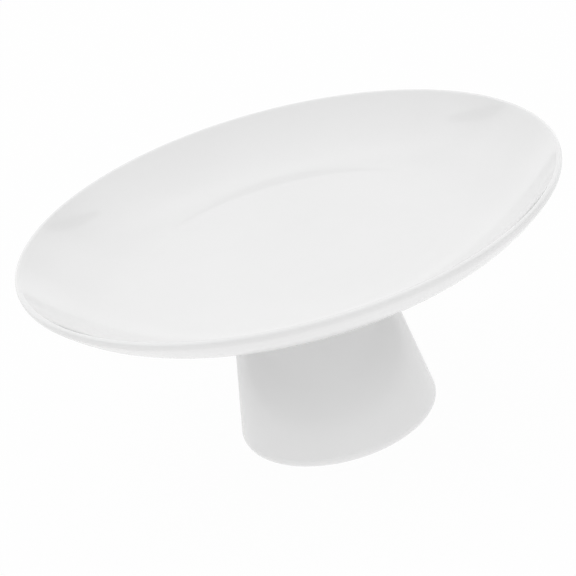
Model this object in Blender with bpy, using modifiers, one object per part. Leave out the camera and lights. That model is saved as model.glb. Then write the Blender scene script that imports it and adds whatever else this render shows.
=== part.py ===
# A white porcelain cake stand: a dished round plate on a hollow conical foot.
# The plate and the foot are formed apart and joined for good with a ring of slip.

import math

import bpy

for old in list(bpy.data.objects):
    bpy.data.objects.remove(old, do_unlink=True)

# Driving dimensions, in metres and degrees
PLATE_DIAMETER = 0.305
STAND_HEIGHT = 0.1355
PLATE_WALL = 0.0052          # wall at the flat middle
LIP_RADIUS = 0.0018          # rounding of the lip
LIP_SLOPE = 44.0             # how steeply the inside of the dish runs up to the lip
RIM_RADIUS = 0.0042          # outer radius of the tight bend just under the lip
RIM_END = 41.5               # the tight bend ends where the wall faces this far below level
SWEEP_RADIUS = 0.068         # outer radius of the long sweep below the bend
SWEEP_END = 63.0             # the sweep ends where the wall faces this far below level
FLOOR_RADIUS = 0.100         # outer radius of the last bend, into the flat middle
FOOT_DIAMETER = 0.113
FOOT_FLARE = 10.2            # half angle of the conical foot
FOOT_WALL = 0.005            # wall at the top of the foot
FOOT_ROUND = 0.006           # rounding of the foot's lower outer edge
FOOT_RING = 0.0025           # width of the ground ring that the stand rests on
FOOT_INNER_ROUND = 0.001
SEAM_COVE = 0.003            # radius of the slip ring's coved sides
SEAM_EDGE = 0.0005           # thickness of the slip ring's outer edges
JOINT_GAP = 0.0003           # clearance kept between touching pieces

TURN_STEPS = 96
FACET_SAG = 0.00004          # how far a facet may stray from its true arc
MERGE_DISTANCE = 0.00001

GLAZE_WHITE = 0.86
GLAZE_ROUGHNESS = 0.10
GLAZE_IOR = 1.5
SEAM_WHITE = 0.85
SEAM_ROUGHNESS = 0.14


def on_arc(centre, radius, angle):
    """The (radius, height) point of an arc at an angle in degrees from straight outwards."""
    turn = math.radians(angle)
    return (centre[0] + radius * math.cos(turn), centre[1] + radius * math.sin(turn))


def arc(centre, radius, start, end):
    """Points along an arc in the (radius, height) plane, between two angles in degrees."""
    facet = 2 * math.degrees(math.acos(1 - FACET_SAG / radius))
    count = math.ceil(abs(end - start) / facet)
    return [on_arc(centre, radius, start + (end - start) * i / count) for i in range(count + 1)]


# Places worked out from the driving dimensions, as (radius, height)
LIP_CENTRE = (PLATE_DIAMETER / 2 - LIP_RADIUS, STAND_HEIGHT - LIP_RADIUS)
RIM_CENTRE = (PLATE_DIAMETER / 2 - RIM_RADIUS, LIP_CENTRE[1])
SWEEP_CENTRE = on_arc(RIM_CENTRE, RIM_RADIUS - SWEEP_RADIUS, -RIM_END)
FLOOR_CENTRE = on_arc(SWEEP_CENTRE, SWEEP_RADIUS - FLOOR_RADIUS, -SWEEP_END)
PLATE_BOTTOM = FLOOR_CENTRE[1] - FLOOR_RADIUS
PLATE_FLOOR = PLATE_BOTTOM + PLATE_WALL
DISH_TOP = on_arc(LIP_CENTRE, LIP_RADIUS, 90.0 + LIP_SLOPE)
DISH_RADIUS = (DISH_TOP[1] - PLATE_FLOOR) / (1 - math.cos(math.radians(LIP_SLOPE)))
DISH_CENTRE = on_arc(DISH_TOP, -DISH_RADIUS, LIP_SLOPE - 90.0)
SEAM_TOP = PLATE_BOTTOM - JOINT_GAP
SEAM_BOTTOM = SEAM_TOP - SEAM_COVE - SEAM_EDGE
FOOT_TOP = SEAM_BOTTOM - JOINT_GAP
FOOT_ROUND_CENTRE = (FOOT_DIAMETER / 2 - FOOT_ROUND, FOOT_ROUND)
FOOT_BORE = FOOT_ROUND_CENTRE[0] - FOOT_RING - FOOT_INNER_ROUND
FOOT_SIDE_START = on_arc(FOOT_ROUND_CENTRE, FOOT_ROUND, FOOT_FLARE)
FOOT_SIDE_RISE = FOOT_TOP - FOOT_SIDE_START[1]
FOOT_TOP_OUTER = FOOT_SIDE_START[0] - FOOT_SIDE_RISE * math.tan(math.radians(FOOT_FLARE))
FOOT_TOP_INNER = FOOT_TOP_OUTER - FOOT_WALL


def glaze(name, tone, roughness):
    """A glossy neutral white ceramic material."""
    material = bpy.data.materials.new(name)
    material.use_nodes = True
    shader = material.node_tree.nodes["Principled BSDF"]
    shader.inputs["Base Color"].default_value = (tone, tone, tone, 1.0)
    shader.inputs["Roughness"].default_value = roughness
    shader.inputs["Metallic"].default_value = 0.0
    shader.inputs["IOR"].default_value = GLAZE_IOR
    return material


def turned(name, outline, closed, material, collection):
    """An object turned about Z from an outline of (radius, height) points."""
    mesh = bpy.data.meshes.new(name)
    points = [(radius, 0.0, height) for radius, height in outline]
    edges = [(i, i + 1) for i in range(len(points) - 1)]
    if closed:
        edges.append((len(points) - 1, 0))
    mesh.from_pydata(points, edges, [])
    piece = bpy.data.objects.new(name, mesh)
    collection.objects.link(piece)
    screw = piece.modifiers.new("Turn", "SCREW")
    screw.axis = "Z"
    screw.angle = math.tau
    screw.steps = TURN_STEPS
    screw.render_steps = TURN_STEPS
    screw.use_merge_vertices = True
    screw.merge_threshold = MERGE_DISTANCE
    screw.use_smooth_shade = True
    mesh.materials.append(material)
    return piece


def plate_outline():
    """The dish from the middle of its floor, over the lip and back under to the middle."""
    outline = [(0.0, PLATE_FLOOR)]
    outline += arc(DISH_CENTRE, DISH_RADIUS, -90.0, LIP_SLOPE - 90.0)
    outline += arc(LIP_CENTRE, LIP_RADIUS, 90.0 + LIP_SLOPE, 0.0)[1:]
    outline += arc(RIM_CENTRE, RIM_RADIUS, 0.0, -RIM_END)[1:]
    outline += arc(SWEEP_CENTRE, SWEEP_RADIUS, -RIM_END, -SWEEP_END)[1:]
    outline += arc(FLOOR_CENTRE, FLOOR_RADIUS, -SWEEP_END, -90.0)[1:]
    outline += [(0.0, PLATE_BOTTOM)]
    return outline


def foot_outline():
    """The hollow foot from its top outer edge, round the ground ring and up the inside."""
    inner_round_centre = (FOOT_BORE + FOOT_INNER_ROUND, FOOT_INNER_ROUND)
    outline = [(FOOT_TOP_OUTER, FOOT_TOP)]
    outline += arc(FOOT_ROUND_CENTRE, FOOT_ROUND, FOOT_FLARE, -90.0)
    outline += arc(inner_round_centre, FOOT_INNER_ROUND, -90.0, -180.0)
    outline += [(FOOT_TOP_INNER, FOOT_TOP)]
    return outline


def seam_outline():
    """The slip ring on the foot's top edge, coved outwards and inwards to the plate."""
    outer_cove = (FOOT_TOP_OUTER + SEAM_COVE, SEAM_BOTTOM)
    inner_cove = (FOOT_TOP_INNER - SEAM_COVE, SEAM_BOTTOM)
    outline = [(outer_cove[0], SEAM_TOP)]
    outline += arc(outer_cove, SEAM_COVE, 90.0, 180.0)
    outline += arc(inner_cove, SEAM_COVE, 0.0, 90.0)
    outline += [(inner_cove[0], SEAM_TOP)]
    return outline


stand = bpy.data.collections.new("cake_stand")
bpy.context.scene.collection.children.link(stand)

turned("plate", plate_outline(), False, glaze("plate_glaze", GLAZE_WHITE, GLAZE_ROUGHNESS), stand)
turned("slip_seam", seam_outline(), True, glaze("seam_glaze", SEAM_WHITE, SEAM_ROUGHNESS), stand)
turned("pedestal", foot_outline(), True, glaze("pedestal_glaze", GLAZE_WHITE, GLAZE_ROUGHNESS), stand)
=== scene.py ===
import math

import bpy
from mathutils import Matrix, Vector


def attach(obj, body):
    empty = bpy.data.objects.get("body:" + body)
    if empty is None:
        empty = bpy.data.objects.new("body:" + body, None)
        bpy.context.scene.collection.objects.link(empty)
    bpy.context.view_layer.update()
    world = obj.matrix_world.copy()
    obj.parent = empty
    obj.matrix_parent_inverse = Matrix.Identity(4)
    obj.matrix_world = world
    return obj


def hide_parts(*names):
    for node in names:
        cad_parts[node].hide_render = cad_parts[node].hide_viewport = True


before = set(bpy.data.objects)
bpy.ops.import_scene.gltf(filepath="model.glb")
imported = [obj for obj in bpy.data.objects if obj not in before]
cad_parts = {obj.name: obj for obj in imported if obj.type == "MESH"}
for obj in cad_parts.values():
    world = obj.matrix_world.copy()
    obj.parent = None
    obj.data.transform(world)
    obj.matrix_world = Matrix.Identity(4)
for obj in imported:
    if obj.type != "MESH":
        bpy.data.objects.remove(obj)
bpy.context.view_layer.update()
print("frame loaded:", sorted(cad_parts))

scene = bpy.context.scene
scene.view_settings.view_transform = "Standard"


# Drawing and spinning

turning = {
    "startSize": 0.01,          # of the plane that is merged into the outline's first point
    "mergeDistance": 0.000002,  # closes the spin's seam and the poles
}


def onArc(centre, radius, angle):  # a (radius, height) point, at degrees up from straight outwards
    turn = math.radians(angle)
    return centre[0] + radius * math.cos(turn), centre[1] + radius * math.sin(turn)


def arcPoints(centre, radius, start, end, count):
    return [onArc(centre, radius, start + (end - start) * i / count) for i in range(count + 1)]


def spinOutline(name, outline, steps):
    bpy.ops.object.select_all(action="DESELECT")
    bpy.ops.mesh.primitive_plane_add(size=turning["startSize"])
    piece = bpy.context.object
    piece.name = name
    piece.data.name = name
    bpy.ops.object.mode_set(mode="EDIT")
    bpy.ops.mesh.select_all(action="SELECT")
    bpy.ops.mesh.merge(type="CENTER")  # one point is left, which then draws the outline
    here = (0.0, 0.0)
    for i, (radius, height) in enumerate(outline):
        move = (radius - here[0], 0.0, height - here[1])
        if i == 0:
            bpy.ops.transform.translate(value=move)
        else:
            bpy.ops.mesh.extrude_region_move(TRANSFORM_OT_translate={"value": move})
        here = (radius, height)
    bpy.ops.mesh.select_all(action="SELECT")
    bpy.ops.mesh.spin(steps=steps, angle=math.tau, center=(0, 0, 0), axis=(0, 0, 1))
    bpy.ops.mesh.select_all(action="SELECT")
    bpy.ops.mesh.remove_doubles(threshold=turning["mergeDistance"])
    bpy.ops.mesh.normals_make_consistent(inside=False)
    bpy.ops.object.mode_set(mode="OBJECT")
    bpy.ops.object.shade_smooth()
    return piece


def dress(piece, material, node):
    piece.data.materials.clear()
    piece.data.materials.append(material)
    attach(piece, "root")
    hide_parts(node)
    print(piece.name, "made,", len(piece.data.polygons), "faces")


# Nodes that the glaze and the studio share

def mapRange(nodes, links, source, span, low, high, kind="LINEAR"):
    node = nodes.new("ShaderNodeMapRange")  # low at the start of the span, high at its end
    node.interpolation_type = kind
    node.inputs["From Min"].default_value = span[0]
    node.inputs["From Max"].default_value = span[1]
    node.inputs["To Min"].default_value = low
    node.inputs["To Max"].default_value = high
    links.new(source, node.inputs["Value"])
    return node.outputs["Result"]


def mathNode(nodes, links, operation, *sources):
    node = nodes.new("ShaderNodeMath")
    node.operation = operation
    for source, socket in zip(sources, node.inputs):
        links.new(source, socket)
    return node.outputs["Value"]


# Glaze

fired = {
    "cloudScale": 16.0,     # where the glaze ran a little thicker
    "cloudDetail": 3.0,
    "smearScale": 45.0,     # faint wiping marks in the gloss
    "smearDetail": 5.0,
    "rippleDetail": 1.5,    # the soft unevenness of a fired glaze
    "pitScale": 60.0,       # a few pinholes
    "pitSize": 0.022,
    "noiseSpan": (0.3, 0.7),    # where most of a noise lies
}

colourMix = {"first": 6, "second": 7, "result": 2}  # sockets of a Mix node that blends colours
valueMix = {"first": 2, "second": 3, "result": 0}   # and of one that blends values


def noiseNode(nodes, links, place, detail):
    node = nodes.new("ShaderNodeTexNoise")
    node.inputs["Detail"].default_value = detail
    links.new(place, node.inputs["Vector"])
    return node


def makeGlazeDetail():
    group = bpy.data.node_groups.new("glazeDetail", "ShaderNodeTree")
    face = group.interface
    face.new_socket("Vector", in_out="INPUT", socket_type="NodeSocketVector")
    for name in ("Ripple Scale", "Pinholes"):
        face.new_socket(name, in_out="INPUT", socket_type="NodeSocketFloat")
    for name in ("Tone", "Polish", "Height"):
        face.new_socket(name, in_out="OUTPUT", socket_type="NodeSocketFloat")
    nodes, links = group.nodes, group.links
    inside = nodes.new("NodeGroupInput")
    outside = nodes.new("NodeGroupOutput")
    place = inside.outputs["Vector"]

    cloud = noiseNode(nodes, links, place, fired["cloudDetail"])
    cloud.inputs["Scale"].default_value = fired["cloudScale"]
    links.new(cloud.outputs["Fac"], outside.inputs["Tone"])

    smear = noiseNode(nodes, links, place, fired["smearDetail"])
    smear.inputs["Scale"].default_value = fired["smearScale"]
    links.new(smear.outputs["Fac"], outside.inputs["Polish"])

    ripple = noiseNode(nodes, links, place, fired["rippleDetail"])
    links.new(inside.outputs["Ripple Scale"], ripple.inputs["Scale"])

    pits = nodes.new("ShaderNodeTexVoronoi")
    pits.inputs["Scale"].default_value = fired["pitScale"]
    links.new(place, pits.inputs["Vector"])
    dimple = mapRange(nodes, links, pits.outputs["Distance"], (0.0, fired["pitSize"]), 1.0, 0.0)
    sink = mathNode(nodes, links, "MULTIPLY", dimple, inside.outputs["Pinholes"])
    surface = mathNode(nodes, links, "SUBTRACT", ripple.outputs["Fac"], sink)
    links.new(surface, outside.inputs["Height"])
    return group


glazeDetail = makeGlazeDetail()


def makeGlaze(name, look):
    material = bpy.data.materials.new(name)
    material.use_nodes = True
    nodes, links = material.node_tree.nodes, material.node_tree.links
    shader = nodes["Principled BSDF"]
    shader.inputs["IOR"].default_value = look["ior"]
    place = nodes.new("ShaderNodeTexCoord")
    detail = nodes.new("ShaderNodeGroup")
    detail.node_tree = glazeDetail
    detail.inputs["Ripple Scale"].default_value = look["rippleScale"]
    detail.inputs["Pinholes"].default_value = look["pinholes"]
    links.new(place.outputs["Object"], detail.inputs["Vector"])

    thickness = mapRange(nodes, links, detail.outputs["Tone"], fired["noiseSpan"], 0.0, 1.0)
    blend = nodes.new("ShaderNodeMix")
    blend.data_type = "RGBA"
    links.new(thickness, blend.inputs[0])
    blend.inputs[colourMix["first"]].default_value = (*look["thin"], 1.0)
    blend.inputs[colourMix["second"]].default_value = (*look["thick"], 1.0)
    colour = blend.outputs[colourMix["result"]]
    polish = detail.outputs["Polish"]
    gloss = mapRange(nodes, links, polish, fired["noiseSpan"], look["smooth"], look["rough"])

    if "bareUpTo" in look:  # the ground ring under the foot has no glaze
        split = nodes.new("ShaderNodeSeparateXYZ")
        links.new(place.outputs["Object"], split.inputs["Vector"])
        bare = mapRange(nodes, links, split.outputs["Z"], look["bareUpTo"], 1.0, 0.0)
        clay = nodes.new("ShaderNodeMix")
        clay.data_type = "RGBA"
        links.new(bare, clay.inputs[0])
        links.new(colour, clay.inputs[colourMix["first"]])
        clay.inputs[colourMix["second"]].default_value = (*look["clay"], 1.0)
        colour = clay.outputs[colourMix["result"]]
        matt = nodes.new("ShaderNodeMix")
        links.new(bare, matt.inputs[0])
        links.new(gloss, matt.inputs[valueMix["first"]])
        matt.inputs[valueMix["second"]].default_value = look["clayRough"]
        gloss = matt.outputs[valueMix["result"]]

    bump = nodes.new("ShaderNodeBump")
    bump.inputs["Strength"].default_value = look["rippleStrength"]
    bump.inputs["Distance"].default_value = look["rippleDepth"]
    links.new(detail.outputs["Height"], bump.inputs["Height"])
    links.new(colour, shader.inputs["Base Color"])
    links.new(gloss, shader.inputs["Roughness"])
    links.new(bump.outputs["Normal"], shader.inputs["Normal"])
    return material


# Plate

plate = {
    "diameter": 0.305,
    "top": 0.1355,
    "wall": 0.0052,          # at the flat middle
    "lipRadius": 0.0018,
    "lipSlope": 44.0,        # how steeply the inside runs up to the lip
    "rimRadius": 0.0042,     # tight bend just under the lip
    "rimEnd": 41.5,          # it ends where the wall faces this far below level
    "sweepRadius": 0.068,    # long sweep below that
    "sweepEnd": 63.0,
    "floorRadius": 0.100,    # last bend, into the flat middle
    "segments": {"dish": 48, "lip": 28, "rim": 12, "sweep": 10, "floor": 12},
    "spinSteps": 448,
    "look": {
        "thin": (0.876, 0.876, 0.876),
        "thick": (0.894, 0.894, 0.894),
        "smooth": 0.03,
        "rough": 0.055,
        "ior": 1.5,
        "rippleScale": 120.0,
        "rippleStrength": 0.12,
        "rippleDepth": 0.0001,
        "pinholes": 0.5,
    },
}

# outside of the wall
lipRadius, rimRadius = plate["lipRadius"], plate["rimRadius"]
sweepRadius, floorRadius = plate["sweepRadius"], plate["floorRadius"]
rimEnd, sweepEnd = plate["rimEnd"], plate["sweepEnd"]
lipCentre = (plate["diameter"] / 2 - lipRadius, plate["top"] - lipRadius)
rimCentre = (plate["diameter"] / 2 - rimRadius, lipCentre[1])
sweepCentre = onArc(rimCentre, rimRadius - sweepRadius, -rimEnd)
floorCentre = onArc(sweepCentre, sweepRadius - floorRadius, -sweepEnd)
plateBottom = floorCentre[1] - floorRadius

# inside of the dish
plateFloor = plateBottom + plate["wall"]
lipSlope = plate["lipSlope"]
dishTop = onArc(lipCentre, lipRadius, 90.0 + lipSlope)
dishRadius = (dishTop[1] - plateFloor) / (1 - math.cos(math.radians(lipSlope)))
dishCentre = onArc(dishTop, -dishRadius, lipSlope - 90.0)

# from the middle of the dish, over the lip and back under to the middle
segments = plate["segments"]
plateOutline = [(0.0, plateFloor)]
plateOutline += arcPoints(dishCentre, dishRadius, -90.0, lipSlope - 90.0, segments["dish"])
plateOutline += arcPoints(lipCentre, lipRadius, 90.0 + lipSlope, 0.0, segments["lip"])[1:]
plateOutline += arcPoints(rimCentre, rimRadius, 0.0, -rimEnd, segments["rim"])[1:]
plateOutline += arcPoints(sweepCentre, sweepRadius, -rimEnd, -sweepEnd, segments["sweep"])[1:]
plateOutline += arcPoints(floorCentre, floorRadius, -sweepEnd, -90.0, segments["floor"])[1:]
plateOutline += [(0.0, plateBottom)]
dishedPlate = spinOutline("dishedPlate", plateOutline, plate["spinSteps"])
dress(dishedPlate, makeGlaze("plateGlaze", plate["look"]), "plate")


# Foot

foot = {
    "diameter": 0.113,
    "flare": 10.2,           # half angle of the cone
    "topWall": 0.005,
    "round": 0.006,          # lower outer edge
    "ring": 0.0025,          # width of the ground ring that the stand rests on
    "innerRound": 0.001,
    "seamHeight": 0.0041,    # room for the slip between the foot and the plate
    "segments": {"round": 18, "innerRound": 6},
    "spinSteps": 160,
    "look": {
        "thin": (0.876, 0.876, 0.876),
        "thick": (0.894, 0.894, 0.894),
        "smooth": 0.04,
        "rough": 0.07,
        "ior": 1.5,
        "rippleScale": 120.0,
        "rippleStrength": 0.12,
        "rippleDepth": 0.0001,
        "pinholes": 0.5,
        "bareUpTo": (0.0004, 0.00064),    # the glaze sets in between these heights
        "clay": (0.78, 0.77, 0.75),
        "clayRough": 0.75,
    },
}

footTop = plateBottom - foot["seamHeight"]
footRound, innerRound, flare = foot["round"], foot["innerRound"], foot["flare"]
footRoundCentre = (foot["diameter"] / 2 - footRound, footRound)
footBore = footRoundCentre[0] - foot["ring"] - innerRound
innerRoundCentre = (footBore + innerRound, innerRound)
sideStart = onArc(footRoundCentre, footRound, flare)
footTopOuter = sideStart[0] - (footTop - sideStart[1]) * math.tan(math.radians(flare))
footTopInner = footTopOuter - foot["topWall"]

# from the top outer edge, round the ground ring and up the inside
segments = foot["segments"]
footOutline = [(footTopOuter, footTop)]
footOutline += arcPoints(footRoundCentre, footRound, flare, -90.0, segments["round"])
footOutline += arcPoints(innerRoundCentre, innerRound, -90.0, -180.0, segments["innerRound"])
footOutline += [(footTopInner, footTop), (footTopOuter, footTop)]
conicalFoot = spinOutline("conicalFoot", footOutline, foot["spinSteps"])
dress(conicalFoot, makeGlaze("footGlaze", foot["look"]), "pedestal")


# Slip seam

seam = {
    "cove": 0.003,          # radius of its hollow sides
    "lift": 0.0003,         # the coves start this far above the foot's top
    "inset": 0.0001,        # its lower edges lie this far inside the foot's top edges
    "segments": 12,
    "spinSteps": 160,
    "look": {
        "thin": (0.866, 0.866, 0.866),
        "thick": (0.886, 0.886, 0.886),
        "smooth": 0.10,
        "rough": 0.17,
        "ior": 1.5,
        "rippleScale": 220.0,
        "rippleStrength": 0.35,
        "rippleDepth": 0.0001,
        "pinholes": 0.8,
    },
}

cove, inset = seam["cove"], seam["inset"]
coveStart = footTop + seam["lift"]
outerCove = (footTopOuter + cove, coveStart)
innerCove = (footTopInner - cove, coveStart)

# from the outer edge under the plate, down to the foot and up the inside
seamOutline = [(outerCove[0], plateBottom)]
seamOutline += arcPoints(outerCove, cove, 90.0, 180.0, seam["segments"])
seamOutline += [(footTopOuter - inset, footTop), (footTopInner + inset, footTop)]
seamOutline += arcPoints(innerCove, cove, 0.0, 90.0, seam["segments"])
seamOutline += [(innerCove[0], plateBottom), (outerCove[0], plateBottom)]
slipSeam = spinOutline("slipSeam", seamOutline, seam["spinSteps"])
dress(slipSeam, makeGlaze("seamGlaze", seam["look"]), "slip_seam")


# Stage

stage = {
    "floorSize": 12.0,
    "floorColour": (0.90, 0.90, 0.90),
    "floorWhite": 0.95,       # share of the ground that stays white in the object's shadow
    "floorMirrored": 0.62,    # the same in reflections on the glaze, which show more of the shadow
    "floorGlow": 0.9,         # share of the ground's own light on the object, as on a lit table
    "skyLow": 0.38,           # soft light all round, weaker towards the table
    "skyTop": 1.2,
    "skyLean": -4.0,          # its brightest part, in degrees behind overhead; below zero is in front
    "skyRise": (0.42, 0.74),  # it strengthens between these cosines of the angle from that part
    "horizon": 0.82,          # the far ground and the walls meet softly
    "horizonFade": (0.0, 0.25),   # heights on a ball of radius 1 round the stand
    "backLow": 0.95,          # a white wall behind the stand, lit from below
    "backHigh": 0.82,
    "backFade": (0.12, 0.38),     # heights on that ball
    "backRise": (0.20, 0.70),     # how far back on it
    "backSides": 1.22,        # how much brighter it is to the left and right
    "backSpread": (0.12, 0.36),   # how far to the side on it
    # dim places in the light, which the dish reflects as faint strokes: degrees to the right of the
    # back and up, half width and half height in degrees, and the share of the light left there
    "fittings": (
        (-46.8, 39.5, 3.5, 9.2, 0.45),
        (0.0, 36.0, 1.15, 6.0, 0.60),
        (46.8, 39.5, 3.5, 9.2, 0.45),
    ),
    "fittingEdge": (0.90, 1.06),    # share of their size over which they fade out
}


def whiteShare(nodes, links):  # how white the ground is to each kind of ray
    light = nodes.new("ShaderNodeLightPath")
    share = nodes.new("ShaderNodeValue").outputs["Value"]
    share.default_value = stage["floorGlow"]
    rays = (
        ("Is Camera Ray", "floorWhite"),
        ("Is Transmission Ray", "floorWhite"),
        ("Is Glossy Ray", "floorMirrored"),
    )
    for name, key in rays:
        step = nodes.new("ShaderNodeMath")
        step.operation = "MULTIPLY_ADD"
        step.inputs[1].default_value = stage[key] - stage["floorGlow"]
        links.new(light.outputs[name], step.inputs[0])
        links.new(share, step.inputs[2])
        share = step.outputs["Value"]
    return share


def makeFloor():
    bpy.ops.object.select_all(action="DESELECT")
    bpy.ops.mesh.primitive_plane_add(size=stage["floorSize"])
    floor = bpy.context.object
    floor.name = "floor"
    material = bpy.data.materials.new("whiteGround")
    material.use_nodes = True
    nodes, links = material.node_tree.nodes, material.node_tree.links
    nodes.clear()
    out = nodes.new("ShaderNodeOutputMaterial")
    bounce = nodes.new("ShaderNodeBsdfDiffuse")
    bounce.inputs["Color"].default_value = (*stage["floorColour"], 1.0)
    glow = nodes.new("ShaderNodeEmission")
    glow.inputs["Strength"].default_value = 1.0  # white
    mix = nodes.new("ShaderNodeMixShader")
    links.new(whiteShare(nodes, links), mix.inputs[0])
    links.new(bounce.outputs["BSDF"], mix.inputs[1])
    links.new(glow.outputs["Emission"], mix.inputs[2])
    links.new(mix.outputs["Shader"], out.inputs["Surface"])
    floor.data.materials.append(material)


def easedRange(nodes, links, source, spanKey, low, high):
    return mapRange(nodes, links, source, stage[spanKey], low, high, "SMOOTHSTEP")


def dimFitting(nodes, links, direction, strength, fitting):
    right, up, width, height, left = fitting
    turn, rise = math.radians(right), math.radians(up)
    inside = nodes.new("ShaderNodeMapping")  # the fitting becomes a ball of radius 1
    inside.vector_type = "TEXTURE"
    inside.inputs["Location"].default_value = (
        math.sin(turn) * math.cos(rise), math.cos(turn) * math.cos(rise), math.sin(rise))
    inside.inputs["Rotation"].default_value = (rise, 0.0, -turn)
    inside.inputs["Scale"].default_value = (math.radians(width), 1.0, math.radians(height))
    links.new(direction, inside.inputs["Vector"])
    away = nodes.new("ShaderNodeVectorMath")
    away.operation = "LENGTH"
    links.new(inside.outputs["Vector"], away.inputs[0])
    dim = easedRange(nodes, links, away.outputs["Value"], "fittingEdge", left, 1.0)
    return mathNode(nodes, links, "MULTIPLY", strength, dim)


def makeLight():
    world = bpy.data.worlds.new("studio")
    world.use_nodes = True
    nodes, links = world.node_tree.nodes, world.node_tree.links
    direction = nodes.new("ShaderNodeTexCoord").outputs["Generated"]
    split = nodes.new("ShaderNodeSeparateXYZ")
    links.new(direction, split.inputs["Vector"])

    lean = math.radians(stage["skyLean"])
    high = nodes.new("ShaderNodeVectorMath")
    high.operation = "DOT_PRODUCT"
    high.inputs[1].default_value = (0.0, math.sin(lean), math.cos(lean))
    links.new(direction, high.inputs[0])
    sky = easedRange(nodes, links, high.outputs["Value"], "skyRise", stage["skyLow"], stage["skyTop"])

    wall = easedRange(nodes, links, split.outputs["Y"], "backRise", 0.0, 1.0)
    fade = easedRange(nodes, links, split.outputs["Z"], "backFade", stage["backLow"], stage["backHigh"])
    wall = mathNode(nodes, links, "MULTIPLY", wall, fade)
    aside = mathNode(nodes, links, "ABSOLUTE", split.outputs["X"])
    sides = easedRange(nodes, links, aside, "backSpread", 1.0, stage["backSides"])
    wall = mathNode(nodes, links, "MULTIPLY", wall, sides)

    meet = easedRange(nodes, links, split.outputs["Z"], "horizonFade", stage["horizon"], 0.0)
    strength = mathNode(nodes, links, "MAXIMUM", sky, wall)
    strength = mathNode(nodes, links, "MAXIMUM", strength, meet)
    for fitting in stage["fittings"]:
        strength = dimFitting(nodes, links, direction, strength, fitting)
    links.new(strength, nodes["Background"].inputs["Strength"])
    nodes["Background"].inputs["Color"].default_value = (1.0, 1.0, 1.0, 1.0)
    scene.world = world


makeFloor()
makeLight()
print("stage set")


# Camera, at the photograph's angle, turned so that the stand lies askew in the picture

shot = {
    "distance": 1.22,         # from the middle of the plate's rim
    "elevation": 22.70,
    "roll": 14.94,
    "picture": 576,           # pixels on a side
    "rimAt": (-3.7, -83.3),   # the rim's middle, in pixels right and down of the picture's centre
    "focal": 2238.0,          # focal length in pixels
    "sensor": 36.0,
}


def makeCamera():
    tilt, roll = math.radians(shot["elevation"]), math.radians(shot["roll"])
    focal, rimAt = shot["focal"], shot["rimAt"]
    forward = Vector((0.0, math.cos(tilt), -math.sin(tilt)))
    level = Vector((1.0, 0.0, 0.0))
    upright = level.cross(forward)
    right = level * math.cos(roll) - upright * math.sin(roll)
    up = level * math.sin(roll) + upright * math.cos(roll)
    aim = (forward - right * (rimAt[0] / focal) + up * (rimAt[1] / focal)).normalized()
    right = (right - aim * right.dot(aim)).normalized()
    up = right.cross(aim)
    lens = bpy.data.cameras.new("camera")
    lens.sensor_width = shot["sensor"]
    lens.lens = focal * shot["sensor"] / shot["picture"]
    camera = bpy.data.objects.new("camera", lens)
    camera.matrix_world = Matrix((right, up, -aim)).transposed().to_4x4()
    camera.location = Vector((0.0, 0.0, plate["top"])) - forward * shot["distance"]
    scene.collection.objects.link(camera)
    scene.camera = camera


makeCamera()
print("camera set")
